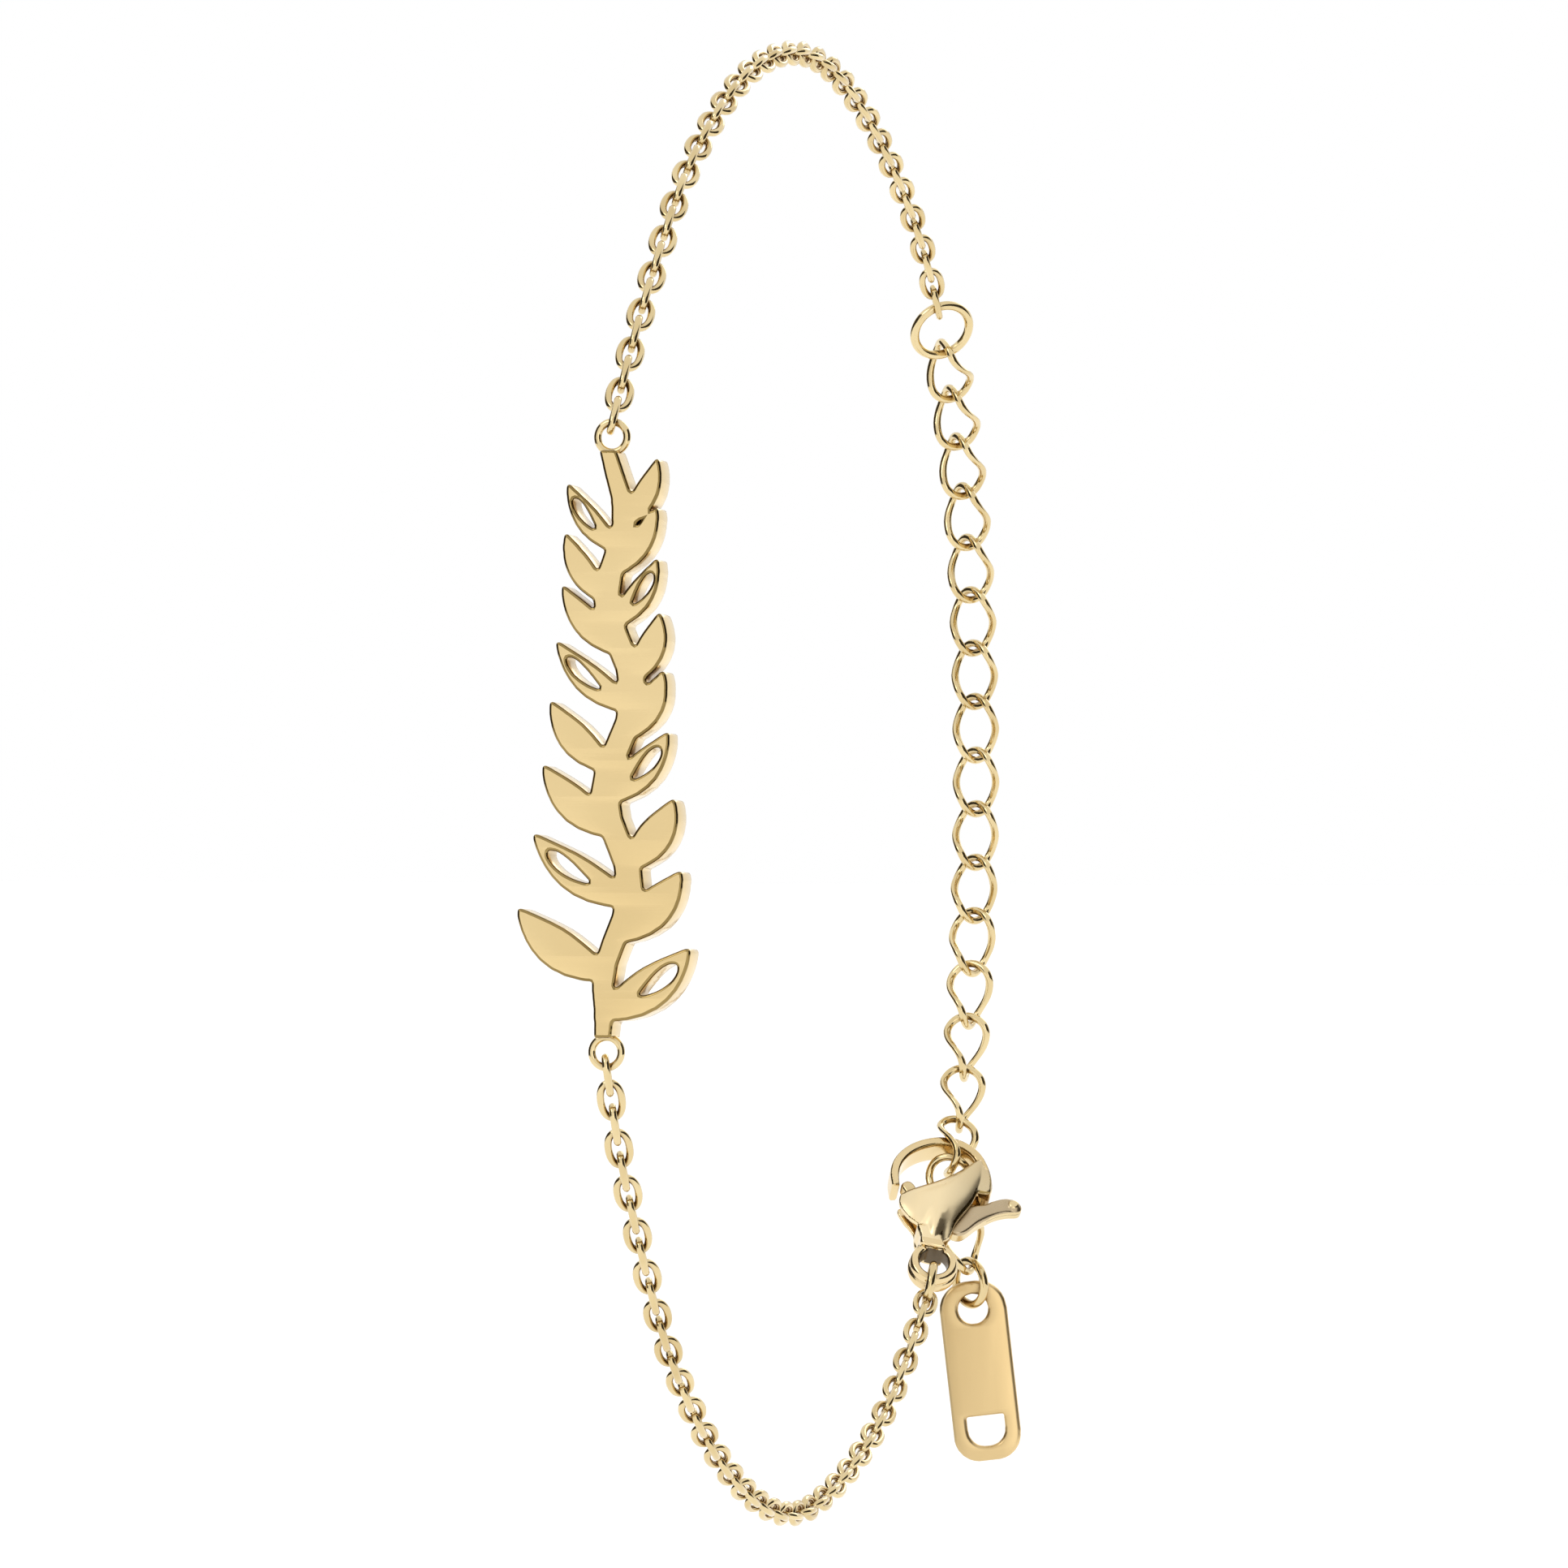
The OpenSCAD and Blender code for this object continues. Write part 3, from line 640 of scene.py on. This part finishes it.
# Cell of the mesh that joins a casting's parts
CASTING_CELL = 0.05
EYE_D, EYE_OUTER, EYE_DEPTH = 1.5, 2.54, 1.1
HOOK_ROWS = [
    (0.345, 0.333, 1.6), (0.36, 0.28, 1.5), (0.327, 0.185, 1.2), (0.222, 0.082, 1.0), (0.05, 0.028, 1.0),
    (-0.135, 0.03, 1.0), (-0.31, 0.072, 1.0), (-0.445, 0.14, 1.0), (-0.525, 0.225, 1.0),
    (-0.54, 0.31, 0.95), (-0.505, 0.395, 0.8)]
FRONT_ROWS = [
    (0.27, 0.13), (0.315, 0.244), (0.265, 0.417), (0.142, 0.584), (0.07, 0.72), (-0.175, 0.72),
    (-0.215, 0.655), (-0.32, 0.62), (-0.425, 0.555), (-0.45, 0.49), (-0.4, 0.45), (-0.286, 0.4),
    (-0.095, 0.325), (0.057, 0.25), (0.17, 0.18)]
BACK_ROWS = [
    (0.36, 0.222), (0.385, 0.323), (0.3, 0.455), (0.12, 0.606), (0.067, 0.727), (-0.183, 0.727),
    (-0.25, 0.626), (-0.375, 0.55), (-0.442, 0.485), (-0.337, 0.465), (-0.183, 0.455), (0, 0.435),
    (0.154, 0.38)]
SPINE_ROWS = [
    (0.235, 0.17), (0.28, 0.15), (0.385, 0.21), (0.42, 0.3), (0.4, 0.345), (0.23, 0.345),
    (0.225, 0.25)]
NECK_ROWS = [
    (-0.225, 0.657), (-0.04, 0.662), (0.04, 0.727), (0.067, 0.783), (-0.144, 0.783),
    (-0.183, 0.727)]
LEVER_ROWS = [
    (-0.404, 0.34), (-0.337, 0.352), (-0.231, 0.424), (-0.058, 0.46), (0.154, 0.439), (0.365, 0.394),
    (0.46, 0.35), (0.56, 0.318), (0.665, 0.308), (0.745, 0.34), (0.735, 0.388), (0.62, 0.412),
    (0.5, 0.452), (0.36, 0.53), (0.213, 0.63), (0.038, 0.621), (-0.115, 0.601), (-0.212, 0.545),
    (-0.308, 0.475), (-0.404, 0.42), (-0.455, 0.375)]
PIVOT_SHARE = (-0.029, 0.54)
# Middle of the round knob in the lever's thumb end
KNOB = (0.668, 0.352)

JOINT_ROW = frame["record"]["behaviour"]["joints"][0]
PIVOT = np.array(JOINT_ROW["pos_m"]) * 1000
CY = -np.array(JOINT_ROW["axis"])


def clasp_axes():
    """Across, towards the viewer and down the clasp, and the hook's top."""
    y = CY / np.linalg.norm(CY)
    z = np.array((0.0, y[2], -y[1]))
    z /= np.linalg.norm(z)
    z = z if z[2] < 0 else -z
    x = np.cross(y, z)
    top = PIVOT - PIVOT_SHARE[0] * CLASP_W * x - PIVOT_SHARE[1] * CLASP_L * z
    return np.column_stack((x, y, z)), top


CLASP_M, CLASP_TOP = clasp_axes()


def sized(rows):
    """Shares of the clasp's width and length turned into millimetres."""
    return [np.array((p[0] * CLASP_W, p[1] * CLASP_L)) for p in rows]


def smooth_step(v):
    """Rises smoothly from 0 to 1 as the value does."""
    v = np.clip(v, 0, 1)
    return v * v * (3 - 2 * v)


def blend(a, b, c, d, t):
    """A point between b and c on a smooth curve through all four."""
    return b + t / 2 * (c - a + t * (2 * a - 5 * b + 4 * c - d + t * (3 * b - 3 * c + d - a)))


def outline(rows, steps=10):
    """A smooth closed outline through the rows."""
    q = sized(rows)
    n = len(q)
    return [blend(q[i - 1], q[i], q[(i + 1) % n], q[(i + 2) % n], k / steps)
            for i in range(n) for k in range(steps)]


def slab_mesh(name, rows, thick, rim, y_mid, mat):
    """A rounded slab of an outline, in the clasp's own axes and millimetres."""
    loops = [[(p[0], p[1]) for p in outline(rows)]]
    matrix = Matrix(((1, 0, 0, 0), (0, 0, -1, y_mid), (0, 1, 0, 0), (0, 0, 0, 1)))
    return pressed(name, loops, thick, rim, matrix, mat)


def dome_mesh(name, rows, y_back, rim_y, top_y, side, mat, ridge=0.0):
    """A shield with a convex face: rings from its rim to its middle over a flat back."""
    rim = np.array(outline(rows, 8))
    c = np.array((-0.05 * CLASP_W, 0.43 * CLASP_L))
    n = len(rim)
    rings = [1.0, 1.0, 0.975, 0.955, 0.92, 0.87, 0.8, 0.72, 0.6, 0.46, 0.3, 0.15]
    shoulder = 0.965
    verts, faces = [], []
    for k, rho in enumerate(rings):
        for p in rim:
            q = c + (p - c) * rho
            inner = min(1.0, rho / shoulder)
            rise = 0.0 if k == 0 else rim_y - y_back + (top_y - rim_y) * (1 - inner**2.2) ** 0.8
            if ridge and k > 0:
                # a ridge with a groove at each side runs down to the eye
                low = max(0.0, min(1.0, (q[1] / CLASP_L - 0.50) / 0.16))
                off = (q[0] / CLASP_W + 0.055) / 0.055
                rise += ridge * low * (math.exp(-off * off) - 0.75 * math.exp(-((abs(off) - 1.9) ** 2)))
            verts.append((q[0], side * (y_back + max(rise, 0.0)), q[1]))
    for k in range(len(rings) - 1):
        for i in range(n):
            j = (i + 1) % n
            faces.append((k * n + i, k * n + j, (k + 1) * n + j, (k + 1) * n + i))
    mid = len(verts)
    verts.append((c[0], side * top_y, c[1]))
    verts.append((c[0], side * y_back, c[1]))
    last = (len(rings) - 1) * n
    for i in range(n):
        j = (i + 1) % n
        faces.append((last + i, last + j, mid))
        faces.append((j, i, mid + 1))
    return new_piece(name, verts, faces, mat)


def hook_mesh(mat):
    """The hook as a band swept along its middle line, with rounded edges."""
    rows = [np.array((p[0] * CLASP_W, p[1] * CLASP_L, p[2] * HOOK_T)) for p in HOOK_ROWS]
    last = len(rows) - 1

    def pick(i):
        return rows[max(0, min(last, i))]

    path = []
    for i in range(last):
        for k in range(8):
            path.append(blend(pick(i - 1), pick(i), pick(i + 1), pick(i + 2), k / 8))
    path.append(rows[last])
    path = np.array(path)
    tang = np.gradient(path[:, :2], axis=0)
    tang /= np.linalg.norm(tang, axis=1)[:, None]
    side = np.column_stack((-tang[:, 1], tang[:, 0]))
    section = 28
    # the band grows deeper from the link that it holds towards its tip
    grow = smooth_step((0.12 - path[:, 0] / CLASP_W) / 0.3)
    front = HOOK_DEPTH / 2 + TIP_FRONT * grow
    rear = HOOK_DEPTH / 2 + TIP_REAR * grow
    verts, faces = [], []
    for i in range(len(path)):
        for j in range(section):
            b = 2 * math.pi * (j + 0.5) / section
            u = math.copysign(abs(math.cos(b)) ** 0.45, math.cos(b)) * path[i, 2] / 2
            v = abs(math.sin(b)) ** 0.3 * (front[i] if math.sin(b) > 0 else -rear[i])
            verts.append((path[i, 0] + side[i, 0] * u, v, path[i, 1] + side[i, 1] * u))
    for i in range(len(path) - 1):
        for j in range(section):
            k = (j + 1) % section
            m, n = i * section, (i + 1) * section
            faces.append((m + j, m + k, n + k, n + j))
    faces.append(tuple(range(section)))
    faces.append(tuple((len(path) - 1) * section + j for j in reversed(range(section))))
    return new_piece("hook_band", verts, faces, mat)


def eye_mesh(mat):
    """The eye as a turned ring with a step between its two rims."""
    inner, outer, half = EYE_D / 2, EYE_OUTER / 2, EYE_DEPTH / 2
    profile = [
        (inner, -half + 0.16), (inner + 0.05, -half + 0.04), (inner + 0.14, -half),
        (outer - 0.12, -half), (outer - 0.03, -half + 0.05), (outer, -half + 0.16),
        (outer, -0.10), (outer - 0.05, -0.03), (outer - 0.15, 0.0), (outer - 0.15, 0.08),
        (outer - 0.06, 0.12), (outer - 0.04, 0.22), (outer - 0.06, half - 0.16),
        (outer - 0.14, half - 0.04), (outer - 0.24, half), (inner + 0.14, half),
        (inner + 0.05, half - 0.04), (inner, half - 0.16)]
    z0 = CLASP_L - outer
    turns = 64
    verts = [(r * math.cos(2 * math.pi * i / turns), y, z0 + r * math.sin(2 * math.pi * i / turns))
             for i in range(turns) for r, y in profile]
    m = len(profile)
    faces = [(i * m + j, ((i + 1) % turns) * m + j,
              ((i + 1) % turns) * m + (j + 1) % m, i * m + (j + 1) % m)
             for i in range(turns) for j in range(m)]
    return new_piece("clasp_eye", verts, faces, mat)


def to_place(mesh):
    """From the clasp's own axes and millimetres to the frame's, in metres."""
    m, t = CLASP_M, CLASP_TOP
    mesh.transform(Matrix(((m[0][0], m[0][1], m[0][2], t[0]), (m[1][0], m[1][1], m[1][2], t[1]),
                           (m[2][0], m[2][1], m[2][2], t[2]), (0, 0, 0, 1))))
    mesh.transform(Matrix.Scale(MM, 4))


def rivet_mesh(mat):
    """The pin, with a low round head on the back wall."""
    x0, z0 = PIVOT_SHARE[0] * CLASP_W, PIVOT_SHARE[1] * CLASP_L
    profile = [
        (0.0, 0.82), (0.26, 0.82), (0.30, 0.78), (0.30, -0.94), (0.40, -0.95), (0.42, -0.98),
        (0.38, -1.02), (0.24, -1.045), (0.0, -1.05)]
    turns = 40
    verts = [(x0 + r * math.cos(2 * math.pi * i / turns), y, z0 + r * math.sin(2 * math.pi * i / turns))
             for i in range(turns) for r, y in profile]
    m = len(profile)
    faces = [(i * m + j, ((i + 1) % turns) * m + j, ((i + 1) % turns) * m + j + 1, i * m + j + 1)
             for i in range(turns) for j in range(m - 1)]
    piece = new_piece("clasp_rivet", verts, faces, mat)
    to_place(piece.data)
    bm = bmesh.new()
    bm.from_mesh(piece.data)
    bmesh.ops.remove_doubles(bm, verts=bm.verts, dist=1e-7)
    bmesh.ops.recalc_face_normals(bm, faces=bm.faces)
    bm.to_mesh(piece.data)
    bm.free()
    return piece


def fused(name, parts, voxel, rounds, mats, shape=None, paint=None):
    """Joins closed meshes into one casting, in millimetres, then moves it to its place."""
    bm = bmesh.new()
    for part in parts:
        bm.from_mesh(part.data)
        bpy.data.objects.remove(part)
    bmesh.ops.recalc_face_normals(bm, faces=bm.faces)
    mesh = bpy.data.meshes.new(name)
    bm.to_mesh(mesh)
    bm.free()
    obj = bpy.data.objects.new(name, mesh)
    bpy.context.collection.objects.link(obj)
    mod = obj.modifiers.new("remesh", "REMESH")
    mod.mode = "VOXEL"
    mod.voxel_size = voxel
    bpy.context.view_layer.update()
    done = bpy.data.meshes.new_from_object(obj.evaluated_get(bpy.context.evaluated_depsgraph_get()))
    obj.modifiers.clear()
    obj.data = done
    if shape is not None:
        co = np.empty(len(done.vertices) * 3)
        done.vertices.foreach_get("co", co)
        done.vertices.foreach_set("co", shape(co.reshape(-1, 3)).ravel())
        done.update()
    soft = obj.modifiers.new("soft", "SMOOTH")
    soft.factor = 0.5
    soft.iterations = rounds
    bpy.context.view_layer.update()
    done = bpy.data.meshes.new_from_object(obj.evaluated_get(bpy.context.evaluated_depsgraph_get()))
    obj.modifiers.clear()
    obj.data = done
    done.materials.clear()
    for mat in mats:
        done.materials.append(mat)
    if paint is not None:
        mid, lean = np.empty(len(done.polygons) * 3), np.empty(len(done.polygons) * 3)
        done.polygons.foreach_get("center", mid)
        done.polygons.foreach_get("normal", lean)
        slots = paint(mid.reshape(-1, 3), lean.reshape(-1, 3))
        done.polygons.foreach_set("material_index", slots.astype(np.int32))
    to_place(done)
    done.polygons.foreach_set("use_smooth", [True] * len(done.polygons))
    return obj


def thumb(co):
    """Hollows the lever's front a little and raises a round knob in its end."""
    x, y, z = co[:, 0], co[:, 1], co[:, 2]
    d = np.hypot(x - KNOB[0] * CLASP_W, z - KNOB[1] * CLASP_L)
    # a groove round the knob, and a shallow scoop over the rest of the thumb
    ditch = 0.13 * np.exp(-((d - 0.34) / 0.10) ** 2)
    scoop = 0.10 * smooth_step((x / CLASP_W - 0.30) / 0.2) * smooth_step((d - 0.3) / 0.2)
    out = co.copy()
    out[:, 1] -= np.where(y > 0.1, ditch + scoop, 0.0)
    return out


def lever_paint(mid, lean):
    """Front face of the lever in painted shade that stands for a dark reflection, its edges and knob
    pale. The lean isn't needed here.
    """
    d = np.hypot(mid[:, 0] - KNOB[0] * CLASP_W, mid[:, 2] - KNOB[1] * CLASP_L)
    return np.where((mid[:, 1] > 0.21) & (mid[:, 0] > -0.1 * CLASP_W) & (d > 0.26), 1, 0)


def body_paint(mid, lean):
    """Shield in a softer polish with painted light, the eye's bore in painted shade and the front edges
    in a painted dark reflection.
    """
    x, y, z = mid[:, 0], mid[:, 1], mid[:, 2]
    turn = lean[:, 1]
    # the front edges take a painted dark reflection
    on_edge = (turn > 0.35) & (turn < 0.86)
    on_edge &= (y > 0.30) & (y < SLOT_W / 2 + 0.42) & (z < 0.70 * CLASP_L)
    from_eye = np.hypot(x, z - (CLASP_L - EYE_OUTER / 2))
    # the bore's faces take the painted shade
    in_bore = (from_eye < EYE_D / 2 + 0.04) & (np.abs(y) < EYE_DEPTH / 2 + 0.1)
    on_shield = (y > SLOT_W / 2 + 0.16) & (z > 0.13 * CLASP_L) & (z < 0.74 * CLASP_L)
    return np.where(in_bore, 2, np.where(on_edge, 3, np.where(on_shield, 1, 0)))


def clasp(body_mat, shield_mat, bore_shade_mat, edge_reflection_mat, lever_mat, scoop_shade_mat):
    """The casting, the thumb lever that turns in it, and their rivet."""
    half = SLOT_W / 2
    parts = [
        hook_mesh(body_mat),
        slab_mesh("spine", SPINE_ROWS, SLOT_W + 2 * WALL - 0.3, 0.2, 0.0, body_mat),
        slab_mesh("neck", NECK_ROWS, SLOT_W + 2 * WALL - 0.1, 0.2, 0.0, body_mat),
        dome_mesh("shield", FRONT_ROWS, half, half + SHIELD_RIM, half + WALL + SHIELD_TOP, 1, body_mat,
                  SHIELD_RIDGE),
        dome_mesh("back_shield", BACK_ROWS, half, half + BACK_RIM, half + WALL, -1, body_mat),
        eye_mesh(body_mat)]
    body = fused("clasp_casting", parts, CASTING_CELL, 4,
                 [body_mat, shield_mat, bore_shade_mat, edge_reflection_mat], paint=body_paint)
    hand_over(body, "clasp_body")
    blank = slab_mesh("lever", LEVER_ROWS, LEVER_T, 0.18, 0.0, lever_mat)
    lever = fused("clasp_thumb_lever", [blank], CASTING_CELL, 3, [lever_mat, scoop_shade_mat],
                  thumb, lever_paint)
    hand_over(lever, "clasp_lever", "lever")
    rivet = rivet_mesh(lever_mat)
    hand_over(rivet, "clasp_pin")


camera()
stage()
plate_gold = gold("plate_gold", (0.82, 0.635, 0.33), (0.76, 0.57, 0.275), (0.12, 0.20), 0.03, 90)
# painted dark reflection for the plate's rims and the clasp's front edges
rim_dark_reflection = gold("rim_dark_reflection", (0.34, 0.24, 0.09), (0.22, 0.15, 0.05), (0.10, 0.18), 0.03, 200)
chain_gold = gold("chain_gold", (0.80, 0.65, 0.37), (0.66, 0.51, 0.26), (0.08, 0.16), 0.04, 300)
clasp_gold = gold("clasp_gold", (0.82, 0.655, 0.38), (0.72, 0.55, 0.29), (0.08, 0.16), 0.03, 150)
# The shield's gold is a paler, lit copy of the clasp's, with painted light and shade running from its
# left edge to its right one
SHIELD_MID = CLASP_TOP @ CLASP_M[:, 0]
SHIELD_LIGHT_STOPS = [(0.0, 0.86), (0.25, 1.0), (0.50, 1.0), (0.78, 0.82), (1.0, 0.74)]
shield_gold = gold("shield_gold", (0.94, 0.78, 0.49), (0.88, 0.70, 0.41), (0.24, 0.34), 0.03, 150,
                   light_sweep=(tuple(CLASP_M[:, 0]), (SHIELD_MID - 0.45 * CLASP_W) * MM,
                          (SHIELD_MID + 0.30 * CLASP_W) * MM, SHIELD_LIGHT_STOPS))
# painted shade for the eye's bore, where the inside of the eye lies in shade
bore_painted_shade = gold("bore_painted_shade", (0.16, 0.12, 0.075), (0.10, 0.075, 0.045), (0.28, 0.38), 0.03, 200)
lever_gold = gold("lever_gold", (0.82, 0.67, 0.40), (0.70, 0.55, 0.30), (0.18, 0.28), 0.05, 200)
# painted shade for the lever's front face, standing in for a dark reflection
scoop_painted_shade = gold("scoop_painted_shade", (0.56, 0.445, 0.285), (0.44, 0.345, 0.215), (0.22, 0.32), 0.05, 200)
chains(chain_gold)
extender(chain_gold)
rings(chain_gold)
nameplate(plate_gold, rim_dark_reflection, chain_gold)
tag()
clasp(clasp_gold, shield_gold, bore_painted_shade, rim_dark_reflection, lever_gold, scoop_painted_shade)
